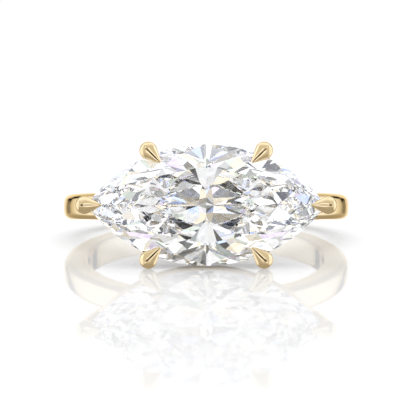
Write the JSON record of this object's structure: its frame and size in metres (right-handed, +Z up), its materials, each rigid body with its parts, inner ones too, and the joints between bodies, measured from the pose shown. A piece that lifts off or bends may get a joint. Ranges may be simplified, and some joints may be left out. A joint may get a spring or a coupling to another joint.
{
  "type": "marquise solitaire ring",
  "caption": "Finger ring with a plain rounded band and a claw setting that holds a long marquise-cut stone across the finger, over a gallery rail.",
  "frame": {"origin": "bottom centre of the bounding box, on the surface that the ring lies on", "axes": "+X along the length of the stone, +Y from the head to the back of the band, +Z up"},
  "size_m": [0.0198, 0.025, 0.0083],
  "materials": {
    "gold": "polished 14 carat yellow gold",
    "stone": "polished colourless faceted gemstone"
  },
  "bodies": {
    "root": {"ring_mount": "gold", "stone": "stone"}
  },
  "joints": []
}
